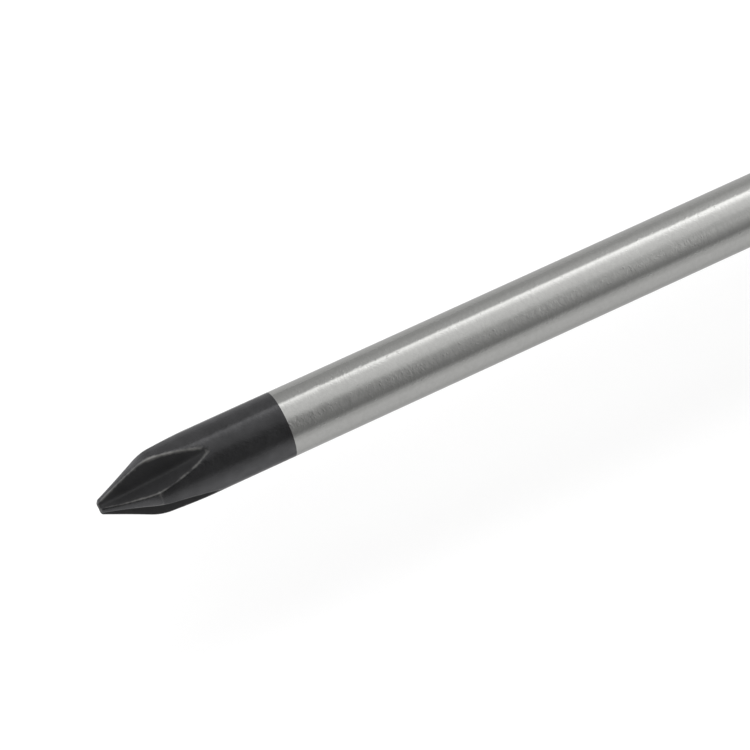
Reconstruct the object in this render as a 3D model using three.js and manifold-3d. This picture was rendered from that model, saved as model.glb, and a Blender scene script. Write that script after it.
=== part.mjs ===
// Cross-head screwdriver, size 1, with a fixed round blade and a handle moulded in three materials.
// Millimetres, +Z up. The tool lies on a table: the shank runs along X with its point towards -X,
// and the origin is on the table below the middle of the tool's length.
import * as THREE from "three";
import { mergeVertices } from "three/addons/utils/BufferGeometryUtils.js";
import Module from "manifold-3d";

const wasm = await Module();
wasm.setup();

// Blade: one ground steel bar.
const SHANK_DIAMETER = 5;
const BLADE_REACH = 80; // from the point to the handle's mouth
const TANG_LENGTH = 48; // from the mouth into the handle
const POINT_FLAT_DIAMETER = 1.08;
const POINT_HALF_ANGLE = 26; // degrees
const WING_THICKNESS = 0.41; // at the point's flat
const FLUTE_WHEEL_RADIUS = 20.6; // of the V-edged wheel that grinds the four flutes
const FLUTE_LEAD = 0.58; // the wheel's deepest place lies this far ahead of the point
const FLUTE_EDGE_ROUNDING = 0.23; // how far the wheel's rounded edge falls short of a sharp V
const WING_TURN = 30; // degrees from upright to the first wing
const EAR_REACH = 1.1; // of each ear pressed out of the tang, past the shank
const EAR_THICKNESS = 1.6;
const EAR_LENGTH = 8;
const EAR_GAP = 4; // between one pair of ears and the next
const EAR_END_SETBACK = 5; // from the tang's end to the nearest pair

// Handle outline, in stretches from the mouth to the butt.
const NOSE_LENGTH = 11;
const COLLAR_WIDTH = 5;
const WAIST_LENGTH = 14; // from the collar to the narrowest place
const RISE_LENGTH = 33; // from there to the fullest place
const FALL_LENGTH = 32; // from there to the butt's rounding
const BUTT_ROUNDING = 5;
const MOUTH_DIAMETER = 10.4;
const FLARE_DIAMETER = 19; // of the nose where it meets the collar
const SHOULDER_DIAMETER = 20; // just behind the collar
const WAIST_DIAMETER = 15.8;
const SWELL_WIDTH = 24; // across flats at the fullest place
const TAIL_WIDTH = 20; // across flats where the butt's rounding starts
const COLLAR_CORNER_RADIUS = 3;
const COLLAR_CHAMFER = 1.2;

// Handle pieces.
const MOUTH_WALL = 4; // of the body, ahead of the core
const CORE_WALL = 1; // of the core, over the ears
const CORE_FLARE_LENGTH = 14;
const BODY_WALL = 1.2; // of the body, below the panels' rear ends
const SLEEVE_LAND = 2; // of bare body between the collar and the sleeve
const SLEEVE_LENGTH = 23;
const SLEEVE_DEPTH = 1.3;
const SLEEVE_RIB_HEIGHT = 0.45;
const PANEL_FRONT_LAND = 4; // of bare body between the sleeve and the panels
const PANEL_REAR_LAND = 3; // of bare body between the panels and the cap
const PANEL_RIB = 4; // of bare body between two panels, at their ends
const PANEL_DEPTH = 1.8;
const PANEL_PROUD = 0.3;
const SPIGOT_LENGTH = 8;
const HANG_HOLE_DIAMETER = 6.5;
const HANG_HOLE_FRONT_WALL = 3.25; // of the cap, from its seam to the hole
const HANG_HOLE_REAR_WALL = 4.25; // of the cap, from the hole to the butt
const MARKER_DIAMETER = 10;
const MARKER_THICKNESS = 1.2;
const MARKER_RIM = 1.3; // of flat butt round the marker
const MARK_DEPTH = 0.5;
const MARK_LENGTH = 5.2;
const MARK_WIDTH = 1.3;

const CLEARANCE = 0.2; // between pieces that are moulded or pressed together

// Counts and fineness.
const WINGS = 4;
const FACES = 6; // flats, and panels, round the handle
const SLEEVE_RIBS = 6;
const STEPS_PER_RIB = 4;
const ROUND_SIDES = 36; // a multiple of twice FACES, so that every flat has the same facets
const WHEEL_SIDES = 180;
const EDGE_STEPS = [0.5, 1.3, 3]; // of the wheel's rounded edge, each side of its middle
const ARC_STEPS = 6;
const STATION_SPACING = 6; // between the rings of a lofted piece
const NOSE_STEPS = 5;
const BUTT_STEPS = 4;
const ROUND = 2; // a section's crispness: 2 is a circle, and a high number a sharp hexagon
const SWELL_CRISPNESS = 8;
const TAIL_CRISPNESS = 4;
const CORE_CRISPNESS = 10;
const OVERSHOOT = 1; // of a cutter past the face that it opens

// Places along the tool, from the point.
const mouthX = BLADE_REACH;
const tangEndX = mouthX + TANG_LENGTH;
const collarX = mouthX + NOSE_LENGTH;
const collarBackX = collarX + COLLAR_WIDTH;
const waistX = collarBackX + WAIST_LENGTH;
const swellX = waistX + RISE_LENGTH;
const tailX = swellX + FALL_LENGTH;
const buttX = tailX + BUTT_ROUNDING;
const hangHoleX = buttX - HANG_HOLE_REAR_WALL - HANG_HOLE_DIAMETER / 2;
const seamX = hangHoleX - HANG_HOLE_DIAMETER / 2 - HANG_HOLE_FRONT_WALL;
const coreX = mouthX + MOUTH_WALL;
const spigotX = seamX - SPIGOT_LENGTH;
const sleeveX = collarBackX + SLEEVE_LAND;
const sleeveEndX = sleeveX + SLEEVE_LENGTH;
const panelX = sleeveEndX + PANEL_FRONT_LAND;
const panelEndX = seamX - PANEL_REAR_LAND;

// Sizes that follow.
const shankRadius = SHANK_DIAMETER / 2;
const earSpan = SHANK_DIAMETER + 2 * EAR_REACH;
const buttFlatRadius = MARKER_DIAMETER / 2 + CLEARANCE + MARKER_RIM;
const restHeight = SWELL_WIDTH / 2 + PANEL_PROUD; // the collar's flats and the panels share it

const mix = (a, b, t) => a + (b - a) * t;
const ease = (t) => t * t * (3 - 2 * t);
const series = (steps, make) => Array.from({ length: steps + 1 }, (_, i) => make(i / steps));
const stepsBetween = (startX, endX) => Math.max(2, Math.round((endX - startX) / STATION_SPACING));

// A closed geometry as a solid, with its faces turned out.
function solid(geometry) {
  const bare = new THREE.BufferGeometry();
  bare.setAttribute("position", geometry.getAttribute("position"));
  bare.setIndex(geometry.index);
  const merged = mergeVertices(bare, 1e-4);
  const vertProperties = new Float32Array(merged.getAttribute("position").array);
  const corner = (i) => new THREE.Vector3().fromArray(vertProperties, 3 * i);
  const triVerts = [];
  let volume = 0;
  for (let i = 0; i < merged.index.count; i += 3) {
    const [a, b, c] = [0, 1, 2].map((k) => merged.index.getX(i + k));
    if (a === b || b === c || c === a) continue; // a face that collapses on the axis
    triVerts.push(a, b, c);
    volume += corner(a).dot(corner(b).cross(corner(c)));
  }
  if (volume < 0) triVerts.reverse();
  const mesh = new wasm.Mesh({ numProp: 3, vertProperties, triVerts: new Uint32Array(triVerts) });
  return new wasm.Manifold(mesh);
}

// A solid of revolution about the shank's axis, from [place, radius] corners.
function turned(corners) {
  const profile = corners.map(([x, radius]) => new THREE.Vector2(radius, x));
  return solid(new THREE.LatheGeometry(profile, ROUND_SIDES).rotateZ(-Math.PI / 2));
}

function bar(startX, endX, radius) {
  return turned([[startX, 0], [startX, radius], [endX, radius], [endX, 0]]);
}

// Radius of a rounded hexagon in a direction, in radians from one of its flats.
function hexRadius(direction, halfWidth, crispness) {
  const spread = (angle) =>
    [0, 1, 2].reduce((sum, k) => sum + Math.abs(Math.cos(angle - (k * Math.PI) / 3)) ** crispness, 0);
  return halfWidth * (spread(0) / spread(direction)) ** (1 / crispness);
}

// A solid through hexagonal rings, each { x, halfWidth, crispness }, closed flat at both ends.
function loft(rings) {
  const positions = [];
  const index = [];
  for (const { x, halfWidth, crispness } of rings) {
    for (let k = 0; k < ROUND_SIDES; k++) {
      const direction = (2 * Math.PI * k) / ROUND_SIDES;
      const radius = hexRadius(direction, halfWidth, crispness);
      positions.push(x, radius * Math.sin(direction), radius * Math.cos(direction));
    }
  }
  const last = ROUND_SIDES * (rings.length - 1);
  for (let k = 0; k < ROUND_SIDES; k++) {
    const next = (k + 1) % ROUND_SIDES;
    for (let ring = 0; ring < last; ring += ROUND_SIDES) {
      index.push(ring + k, ring + next, ring + ROUND_SIDES + k);
      index.push(ring + next, ring + ROUND_SIDES + next, ring + ROUND_SIDES + k);
    }
    if (k > 0 && next > 0) {
      index.push(0, next, k);
      index.push(last, last + k, last + next);
    }
  }
  const geometry = new THREE.BufferGeometry();
  geometry.setAttribute("position", new THREE.Float32BufferAttribute(positions, 3));
  return solid(geometry.setIndex(index));
}

// The handle's outer ring at a place behind the collar: shoulder, waist, swell and tail.
function gripRing(x, offset = 0) {
  const shoulder = { x: collarBackX, halfWidth: SHOULDER_DIAMETER / 2, crispness: ROUND };
  const waist = { x: waistX, halfWidth: WAIST_DIAMETER / 2, crispness: ROUND };
  const swell = { x: swellX, halfWidth: SWELL_WIDTH / 2, crispness: SWELL_CRISPNESS };
  const tail = { x: tailX, halfWidth: TAIL_WIDTH / 2, crispness: TAIL_CRISPNESS };
  const spans = [[shoulder, waist], [waist, swell], [swell, tail]];
  const [from, to] = spans.find((span) => x <= span[1].x) ?? spans[2];
  const t = ease(THREE.MathUtils.clamp((x - from.x) / (to.x - from.x), 0, 1));
  return {
    x,
    halfWidth: mix(from.halfWidth, to.halfWidth, t) + offset,
    crispness: mix(from.crispness, to.crispness, t),
  };
}

function gripRings(startX, endX, steps, offset = 0) {
  return series(steps, (t) => gripRing(mix(startX, endX, t), offset));
}

// Half widths of the core: its front holds the ears, its rear leaves the body a wall below the panels.
function coreHalfWidths() {
  const belowPanels = gripRing(panelEndX).halfWidth - PANEL_DEPTH - CLEARANCE;
  return { front: earSpan / 2 + CORE_WALL, rear: belowPanels - BODY_WALL - CLEARANCE };
}

// The core's rings between two places, grown by an offset.
function coreRings(startX, endX, offset) {
  const { front, rear } = coreHalfWidths();
  const flareX = sleeveEndX - offset;
  const flareEndX = flareX + CORE_FLARE_LENGTH;
  const ring = (x, halfWidth) => ({ x, halfWidth: halfWidth + offset, crispness: CORE_CRISPNESS });
  return [ring(startX, front), ring(flareX, front), ring(flareEndX, rear), ring(endX, rear)];
}

// The two pairs of ears on the tang, grown by an offset. The pairs cross each other.
function ears(offset) {
  const size = [EAR_LENGTH, earSpan, EAR_THICKNESS].map((length) => length + 2 * offset);
  const pairs = [0, 1].map((pair) => {
    const x = tangEndX - EAR_END_SETBACK - EAR_LENGTH / 2 - pair * (EAR_LENGTH + EAR_GAP);
    return solid(new THREE.BoxGeometry(...size).rotateX((pair * Math.PI) / 2).translate(x, 0, 0));
  });
  return pairs[0].add(pairs[1]);
}

// The wheel that grinds one flute: its edge is a right-angled V, so the wings have parallel sides, with a
// rounded tip.
function fluteWheel(turn) {
  const halfWidth = shankRadius + OVERSHOOT;
  const rim = FLUTE_WHEEL_RADIUS;
  const fall = (offset) => Math.hypot(offset, FLUTE_EDGE_ROUNDING) - FLUTE_EDGE_ROUNDING;
  const offsets = [...EDGE_STEPS.map((step) => step * FLUTE_EDGE_ROUNDING), halfWidth];
  const edge = [...offsets.map((offset) => -offset).reverse(), 0, ...offsets];
  const profile = [
    new THREE.Vector2(0, -halfWidth),
    ...edge.map((offset) => new THREE.Vector2(rim - fall(offset), offset)),
    new THREE.Vector2(0, halfWidth),
  ];
  const valleyAtPoint = WING_THICKNESS / Math.SQRT2 + FLUTE_EDGE_ROUNDING;
  const height = valleyAtPoint + Math.sqrt(rim ** 2 - FLUTE_LEAD ** 2);
  const wheel = new THREE.LatheGeometry(profile, WHEEL_SIDES).translate(-FLUTE_LEAD, 0, height);
  return solid(wheel.rotateX(-THREE.MathUtils.degToRad(turn)));
}

// Blade: coned and fluted cross point, round shank, and a tang with ears that stop it turning.
function blade() {
  const pointRadius = POINT_FLAT_DIAMETER / 2;
  const coneLength = (shankRadius - pointRadius) / Math.tan(THREE.MathUtils.degToRad(POINT_HALF_ANGLE));
  const turnedBar = turned([
    [0, 0],
    [0, pointRadius],
    [coneLength, shankRadius],
    [tangEndX, shankRadius],
    [tangEndX, 0],
  ]);
  const pitch = 360 / WINGS;
  const flutes = Array.from({ length: WINGS }, (_, wing) => fluteWheel(WING_TURN + pitch * (wing + 0.5)));
  return flutes.reduce((steel, flute) => steel.subtract(flute), turnedBar.add(ears(0)));
}

// Inner core, moulded round the tang.
function tangCore() {
  const bore = bar(coreX - OVERSHOOT, tangEndX + CLEARANCE, shankRadius + CLEARANCE);
  return loft(coreRings(coreX, spigotX - CLEARANCE, 0)).subtract(bore.add(ears(CLEARANCE)));
}

// Rounded hexagon with flats up and down, as a plate across the shank.
function collarPlate() {
  const radius = COLLAR_CORNER_RADIUS - COLLAR_CHAMFER;
  const halfFace = Math.PI / FACES;
  const reach = (restHeight - COLLAR_CORNER_RADIUS) / Math.cos(halfFace);
  const outline = new THREE.Shape();
  for (let corner = 0; corner < FACES; corner++) {
    const direction = (2 * corner + 1) * halfFace;
    const centre = [reach * Math.cos(direction), reach * Math.sin(direction)];
    outline.absarc(...centre, radius, direction - halfFace, direction + halfFace, false);
  }
  const plate = new THREE.ExtrudeGeometry(outline, {
    depth: COLLAR_WIDTH - 2 * COLLAR_CHAMFER,
    curveSegments: ARC_STEPS,
    bevelThickness: COLLAR_CHAMFER,
    bevelSize: COLLAR_CHAMFER,
    bevelSegments: 1,
  });
  return solid(plate.rotateY(Math.PI / 2).translate(collarX + COLLAR_CHAMFER, 0, 0));
}

// A block with the plan of one grip panel, two round ends joined by straight sides, grown by an offset.
function panelBlock(offset, turn) {
  const endRadius = (x) => gripRing(x).halfWidth * Math.tan(Math.PI / FACES) - PANEL_RIB / 2;
  const [front, rear] = [endRadius(panelX), endRadius(panelEndX)];
  const [frontX, rearX] = [panelX + front, panelEndX - rear];
  const lean = Math.acos((front - rear) / (rearX - frontX));
  const plan = new THREE.Shape();
  plan.absarc(rearX, 0, rear + offset, -lean, lean, false);
  plan.absarc(frontX, 0, front + offset, lean, 2 * Math.PI - lean, false);
  const extrusion = { depth: SWELL_WIDTH, curveSegments: ARC_STEPS, bevelEnabled: false };
  return solid(new THREE.ExtrudeGeometry(plan, extrusion).rotateX(-turn));
}

function faceTurns() {
  return Array.from({ length: FACES }, (_, k) => (k * 2 * Math.PI) / FACES);
}

// The grip along the panels, grown by an offset.
function panelLoft(offset) {
  const [startX, endX] = [panelX - OVERSHOOT, panelEndX + OVERSHOOT];
  return loft(gripRings(startX, endX, stepsBetween(startX, endX), offset));
}

// Hard outer body: nose, collar, groove for the sleeve, and pockets for the panels.
function handleBody() {
  const nose = series(NOSE_STEPS, (t) => ({
    x: mix(mouthX, collarX, t),
    halfWidth: mix(MOUTH_DIAMETER, FLARE_DIAMETER, t ** 3) / 2,
    crispness: ROUND,
  }));
  const groove = -SLEEVE_DEPTH - CLEARANCE;
  const [gripX, gripEndX] = [panelX - OVERSHOOT, panelEndX + OVERSHOOT];
  const outside = loft([
    ...nose,
    gripRing(collarBackX),
    gripRing(sleeveX),
    ...gripRings(sleeveX, sleeveEndX, stepsBetween(sleeveX, sleeveEndX), groove),
    gripRing(sleeveEndX),
    ...gripRings(gripX, gripEndX, stepsBetween(gripX, gripEndX)),
    gripRing(seamX),
  ]);
  const pockets = faceTurns()
    .map((turn) => panelBlock(CLEARANCE, turn))
    .reduce((all, pocket) => all.add(pocket))
    .subtract(panelLoft(-PANEL_DEPTH - CLEARANCE));
  const cavity = loft(coreRings(coreX - CLEARANCE, seamX + OVERSHOOT, CLEARANCE));
  const mouth = bar(mouthX - OVERSHOOT, coreX, shankRadius + CLEARANCE);
  return outside.add(collarPlate()).subtract(pockets).subtract(cavity.add(mouth));
}

// Soft sleeve round the waist, with rounded ribs for the fingertips.
function waistSleeve() {
  const [startX, endX] = [sleeveX + CLEARANCE, sleeveEndX - CLEARANCE];
  const pitches = SLEEVE_RIBS + 1; // the ribs, and half a pitch of plain edge at each end
  const outside = series(STEPS_PER_RIB * pitches, (t) => {
    const along = t * pitches - 0.5;
    const onRib = along > 0 && along < SLEEVE_RIBS;
    const rise = onRib ? (SLEEVE_RIB_HEIGHT * (1 - Math.cos(2 * Math.PI * along))) / 2 : 0;
    return gripRing(mix(startX, endX, t), rise);
  });
  const steps = stepsBetween(startX, endX);
  const inside = gripRings(startX - OVERSHOOT, endX + OVERSHOOT, steps, -SLEEVE_DEPTH);
  return loft(outside).subtract(loft(inside));
}

// One soft grip panel, which fills its pocket and stands a little proud.
function gripPanel(turn) {
  return panelBlock(0, turn).intersect(panelLoft(PANEL_PROUD)).subtract(panelLoft(-PANEL_DEPTH));
}

// Hard end cap: a spigot in the body, a rounded butt, and a hole to hang the tool by.
function endCap() {
  const startX = seamX + CLEARANCE;
  const butt = series(BUTT_STEPS, (t) => {
    const angle = (t * Math.PI) / 2;
    return {
      x: mix(tailX, buttX, Math.sin(angle)),
      halfWidth: mix(buttFlatRadius, TAIL_WIDTH / 2, Math.cos(angle)),
      crispness: mix(ROUND, TAIL_CRISPNESS, Math.cos(angle)),
    };
  });
  const shell = loft([...gripRings(startX, tailX, stepsBetween(startX, tailX)).slice(0, -1), ...butt]);
  const { rear } = coreHalfWidths();
  const spigotRing = (x) => ({ x, halfWidth: rear, crispness: CORE_CRISPNESS });
  const spigot = loft([spigotRing(spigotX), spigotRing(startX + OVERSHOOT)]);
  const holeRadius = HANG_HOLE_DIAMETER / 2;
  const hole = new THREE.CylinderGeometry(holeRadius, holeRadius, 2 * SWELL_WIDTH, ROUND_SIDES);
  const recessX = buttX - MARKER_THICKNESS - CLEARANCE;
  const recess = bar(recessX, buttX + OVERSHOOT, MARKER_DIAMETER / 2 + CLEARANCE);
  return shell
    .add(spigot)
    .subtract(solid(hole.rotateX(Math.PI / 2).translate(hangHoleX, 0, 0)))
    .subtract(recess);
}

// Inlaid disc in the butt, with a sunk cross that tells the point's type.
function markerDisc() {
  const disc = bar(buttX - MARKER_THICKNESS, buttX, MARKER_DIAMETER / 2);
  const stroke = (turn) => {
    const block = new THREE.BoxGeometry(2 * MARK_DEPTH, MARK_LENGTH, MARK_WIDTH);
    return solid(block.rotateX(turn).translate(buttX, 0, 0));
  };
  return disc.subtract(stroke(0).add(stroke(Math.PI / 2)));
}

// Finishes. Each mesh has a material of its own.
const satinChrome = { color: 0xb9b9b8, roughness: 0.3, metalness: 1 };
const coreNylon = { color: 0x2a2b2d, roughness: 0.55, metalness: 0 };
const hardPlastic = { color: 0x55585c, roughness: 0.42, metalness: 0 };
const softRubber = { color: 0x1d1d1f, roughness: 0.8, metalness: 0 };
const markerPlastic = { color: 0xc9cac8, roughness: 0.4, metalness: 0 };

function meshOf(name, made, finish) {
  const { vertProperties, triVerts } = made.getMesh();
  const geometry = new THREE.BufferGeometry();
  geometry.setAttribute("position", new THREE.BufferAttribute(vertProperties, 3));
  geometry.setIndex(new THREE.BufferAttribute(triVerts, 1));
  geometry.computeVertexNormals();
  const mesh = new THREE.Mesh(geometry, new THREE.MeshStandardMaterial(finish));
  mesh.name = name;
  return mesh;
}

const screwdriver = new THREE.Group();
screwdriver.add(
  meshOf("blade", blade(), satinChrome),
  meshOf("tang_core", tangCore(), coreNylon),
  meshOf("handle_body", handleBody(), hardPlastic),
  meshOf("waist_sleeve", waistSleeve(), softRubber),
  ...faceTurns().map((turn, k) => meshOf(`grip_panel_${k + 1}`, gripPanel(turn), softRubber)),
  meshOf("end_cap", endCap(), hardPlastic),
  meshOf("marker_disc", markerDisc(), markerPlastic),
);
screwdriver.position.set(-buttX / 2, 0, restHeight);

export default screwdriver;
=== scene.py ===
import math

import bmesh
import bpy
from bpy.props import FloatProperty, FloatVectorProperty, PointerProperty
from bpy.types import Node, NodeSocket, Operator, Panel, PropertyGroup
from mathutils import Matrix, Vector


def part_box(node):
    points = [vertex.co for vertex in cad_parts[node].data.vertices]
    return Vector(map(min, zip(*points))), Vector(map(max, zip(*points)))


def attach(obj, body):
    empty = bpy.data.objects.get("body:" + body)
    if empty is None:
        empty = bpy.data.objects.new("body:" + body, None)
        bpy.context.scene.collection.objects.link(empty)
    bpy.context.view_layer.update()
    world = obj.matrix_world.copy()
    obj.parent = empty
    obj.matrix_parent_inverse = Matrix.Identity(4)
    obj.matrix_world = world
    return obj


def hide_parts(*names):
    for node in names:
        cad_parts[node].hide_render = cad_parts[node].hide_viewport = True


bl_info = {
    "name": "Cross-head screwdriver",
    "version": (1, 0, 0),
    "blender": (4, 5, 0),
    "location": "View3D > Sidebar > Screwdriver",
    "description": "Builds the visible pieces of a cross-head screwdriver round its packed frame",
    "category": "Object",
}

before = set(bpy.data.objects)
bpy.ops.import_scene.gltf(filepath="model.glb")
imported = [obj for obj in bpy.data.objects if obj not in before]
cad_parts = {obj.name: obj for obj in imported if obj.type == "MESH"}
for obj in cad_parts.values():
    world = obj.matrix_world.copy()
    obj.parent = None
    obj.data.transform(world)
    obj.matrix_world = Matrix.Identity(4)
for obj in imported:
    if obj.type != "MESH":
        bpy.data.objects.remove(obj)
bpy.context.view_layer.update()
MM = 0.001
FACES = 6
WINGS = 4

# Places along the tool, read from the frame. The tool's axis is level, along X.
POINT_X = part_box("blade")[0].x
TANG_END_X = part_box("blade")[1].x
MOUTH_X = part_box("handle_body")[0].x
SEAM_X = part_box("handle_body")[1].x
SLEEVE_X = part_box("waist_sleeve")[0].x
SLEEVE_END_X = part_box("waist_sleeve")[1].x
PANEL_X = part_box("grip_panel_1")[0].x
PANEL_END_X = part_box("grip_panel_1")[1].x
CORE_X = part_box("tang_core")[0].x
CAP_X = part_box("end_cap")[0].x
BUTT_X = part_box("end_cap")[1].x
AXIS_HEIGHT = sum(corner.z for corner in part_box("marker_disc")) / 2
CORE_HALF_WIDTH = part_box("tang_core")[1].z - AXIS_HEIGHT
COLLAR_HALF_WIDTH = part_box("handle_body")[1].z - AXIS_HEIGHT

# Fineness of the meshes: columns round the handle and over half a sector of the point, and search rounds.
ROUND_COUNT = 192
FACE_COUNT = ROUND_COUNT // FACES
SECTOR_HALF_COUNT = 16
SEAT_ROUNDS = 25
HALVINGS = 36

# A length that is too small to show, the reach within which points are joined, and the least share that is
# divided by.
SLACK = 1e-9
JOIN_REACH = 1e-7
LEAST_SHARE = 1e-6

# Bend of a surface, per millimetre, at which edge wear starts, and the bend beyond that at which it is full.
WEAR_BEND = 0.33
WEAR_BEND_SPAN = 1.1


def linear(code):
    """Linear colour of an sRGB hex value."""
    parts = [int(code[i:i + 2], 16) / 255 for i in (1, 3, 5)]
    return tuple(c / 12.92 if c <= 0.04045 else ((c + 0.055) / 1.055) ** 2.4 for c in parts)


def length(name, description, millimetres):
    """A length that a user may change, given in millimetres and kept in metres."""
    return FloatProperty(
        name=name, description=description, default=millimetres * MM, min=0.0, precision=5, unit="LENGTH"
    )


def turn(name, description, degrees):
    """An angle that a user may change, given in degrees and kept in radians."""
    return FloatProperty(
        name=name, description=description, default=math.radians(degrees), subtype="ANGLE", unit="ROTATION"
    )


def tint(name, description, code):
    """A colour that a user may change, given as an sRGB hex value."""
    return FloatVectorProperty(
        name=name, description=description, default=linear(code), min=0.0, max=1.0, size=3, subtype="COLOR"
    )


class BladeSizes(PropertyGroup):
    """Sizes of the ground steel blade."""

    shank_diameter: length("Shank diameter", "Diameter of the round bar", 5.0)
    point_flat: length("Point flat", "Diameter across the wings at the flat end of the point", 1.08)
    point_half_angle: turn("Point half angle", "Angle between the cone of the point and the axis", 26.0)
    wing_thickness: length("Wing thickness", "Thickness of a wing at the flat end", 0.41)
    wheel_radius: length("Flute wheel", "Radius of the V-edged wheel that grinds a flute", 20.6)
    wheel_lead: length("Flute lead", "How far ahead of the point the wheel cuts deepest", 0.58)
    wing_turn: turn("Wing turn", "Angle from upright to the first wing", 30.0)
    edge_rounding: length("Edge rounding", "Wear and tumbling of a wing's edges", 0.14)
    end_rounding: length("End rounding", "Wear and tumbling of the flat end's rim", 0.16)
    shoulder_rounding: length("Shoulder rounding", "Softness of the crease between cone and bar", 0.36)
    valley_rounding: length("Valley rounding", "How far the wheel's edge falls short of a sharp V", 0.16)
    runout_rounding: length("Run-out rounding", "The same where the flute runs out of the bar", 0.24)
    black_length: length("Black length", "Length of the blackened point", 14.34)
    rubbed_side: turn("Rubbed side", "Direction from upright of the wing whose crease is rubbed most", 300.0)
    ear_reach: length("Ear reach", "How far an ear of the tang stands out of the bar", 1.1)
    ear_thickness: length("Ear thickness", "Thickness of an ear", 1.6)
    ear_length: length("Ear length", "Length of an ear along the bar", 8.0)
    ear_gap: length("Ear gap", "Bar between the two pairs of ears", 4.0)
    ear_setback: length("Ear setback", "Bar between the tang's end and the nearest ears", 5.0)


class HandleSizes(PropertyGroup):
    """Sizes of the moulded handle."""

    mouth_diameter: length("Mouth", "Diameter of the nose where the blade enters", 10.4)
    mouth_rounding: length("Mouth rounding", "Radius of the mouth's rim", 0.6)
    nose_length: length("Nose length", "From the mouth to the collar", 11.0)
    flare_diameter: length("Flare", "Diameter of the nose where it meets the collar", 19.0)
    collar_width: length("Collar width", "Width of the anti-roll collar", 5.0)
    collar_corner: length("Collar corner", "Radius of the collar's six corners", 3.0)
    collar_rounding: length("Collar rounding", "Radius of the collar's two rims", 1.2)
    shoulder_diameter: length("Shoulder", "Diameter just behind the collar", 20.0)
    waist_length: length("Waist length", "From the collar to the narrowest place", 14.0)
    waist_diameter: length("Waist", "Diameter at the narrowest place", 15.8)
    rise_length: length("Rise length", "From the narrowest to the fullest place", 33.0)
    swell_width: length("Swell", "Width across flats at the fullest place", 24.0)
    tail_width: length("Tail", "Width across flats where the butt's rounding starts", 20.0)
    butt_rounding: length("Butt rounding", "Length of the rounded butt", 5.0)
    butt_flat: length("Butt flat", "Diameter of the flat end of the butt", 13.0)
    sleeve_depth: length("Sleeve depth", "Thickness of the soft sleeve between its ribs", 1.3)
    rib_height: length("Rib height", "How far the sleeve's ribs stand up", 0.45)
    panel_depth: length("Panel depth", "How deep a grip panel is let in", 1.8)
    panel_proud: length("Panel proud", "How far a grip panel stands out", 0.3)
    panel_rib: length("Panel spacing", "Bare body between two panels at their ends", 4.0)
    panel_rounding: length("Panel rounding", "Radius of a grip panel's rim", 0.45)
    groove_pitch: length("Groove pitch", "Spacing of the finger grooves in a panel", 2.6)
    groove_width: length("Groove width", "Width of a finger groove", 1.5)
    groove_depth: length("Groove depth", "Depth of a finger groove", 0.28)
    lip_rounding: length("Lip rounding", "Radius of the body's edges at pockets and seams", 0.25)
    hole_diameter: length("Hang hole", "Diameter of the hole the tool hangs by", 6.5)
    hole_setback: length("Hang hole setback", "From the butt's end to the hole's middle", 7.5)
    hole_rounding: length("Hang hole rounding", "Radius of the hole's rims", 0.7)
    marker_diameter: length("Marker", "Diameter of the inlaid disc", 10.0)
    marker_thickness: length("Marker thickness", "Thickness of the inlaid disc", 1.2)
    mark_length: length("Mark length", "Length of the sunk cross", 5.2)
    mark_width: length("Mark width", "Width of the sunk cross's arms", 1.3)
    mark_depth: length("Mark depth", "Depth of the sunk cross", 0.5)
    fit: length("Fit", "Gap between pieces that are moulded or pressed together", 0.2)
    seam: length("Seam", "Gap that shows round a soft piece", 0.08)


class Finishes(PropertyGroup):
    """Colours of the finishes."""

    chrome: tint("Satin chrome", "Plated steel of the shank", "#A4A4A2")
    black: tint("Black oxide", "Blackened steel of the point", "#3A3A3B")
    flute: tint("Flute black", "Blackened steel in the ground flutes", "#2E2E2F")
    bare: tint("Bare steel", "Steel where the black is rubbed off", "#A9A8A5")
    body: tint("Handle plastic", "Hard plastic of the body and cap", "#55585C")
    rubber: tint("Grip rubber", "Soft rubber of the sleeve and panels", "#1D1D1F")
    core: tint("Core nylon", "Hidden core round the tang", "#2A2B2D")
    marker: tint("Marker plastic", "Inlaid disc in the butt", "#C9CAC8")
    mark: tint("Mark paint", "Paint in the disc's sunk cross", "#26272A")


class StageSettings(PropertyGroup):
    """Camera, floor and light."""

    camera_place: FloatVectorProperty(
        name="Camera place", description="Where the camera stands", default=(-0.12500, -0.10800, 0.22469),
        size=3, subtype="TRANSLATION", unit="LENGTH", precision=5
    )
    camera_azimuth: turn("Camera azimuth", "The camera's direction round the tool", -27.79)
    camera_elevation: turn("Camera elevation", "The camera's height over the floor", 60.0)
    lens: FloatProperty(name="Lens", description="Focal length", default=164.0, min=1.0, unit="CAMERA")
    floor_size: length("Floor size", "Side of the square floor", 6000.0)
    floor: tint("Floor", "Pale floor under the tool", "#BABABA")
    floor_lift: FloatProperty(
        name="Floor lift", default=0.6, min=0.0, max=1.0, subtype="FACTOR",
        description="Added to the floor where it is seen or mirrored, so that it reads as white"
    )


class ScrewdriverSettings(PropertyGroup):
    """Everything that a user may change."""

    blade: PointerProperty(name="Blade", description="Sizes of the blade", type=BladeSizes)
    handle: PointerProperty(name="Handle", description="Sizes of the handle", type=HandleSizes)
    finishes: PointerProperty(name="Finishes", description="Colours", type=Finishes)
    stage: PointerProperty(name="Stage", description="Camera, floor and light", type=StageSettings)


# Shared arithmetic.


def mix(a, b, t):
    """Value a share t of the way from a to b."""
    return a + (b - a) * t


def clamp(t):
    """Value kept between 0 and 1."""
    return max(0.0, min(1.0, t))


def ease(t):
    """Smooth step from 0 to 1."""
    return t * t * (3 - 2 * t)


def steps(start, end, count):
    """Evenly spaced values, both ends among them."""
    return [mix(start, end, i / count) for i in range(count + 1)]


def soft_min(a, b, blend):
    """Lesser of two depths, rounded off where they are within a blend of each other."""
    overlap = max(blend - abs(a - b), 0.0)
    return min(a, b) - overlap * overlap / (4 * blend)


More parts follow.
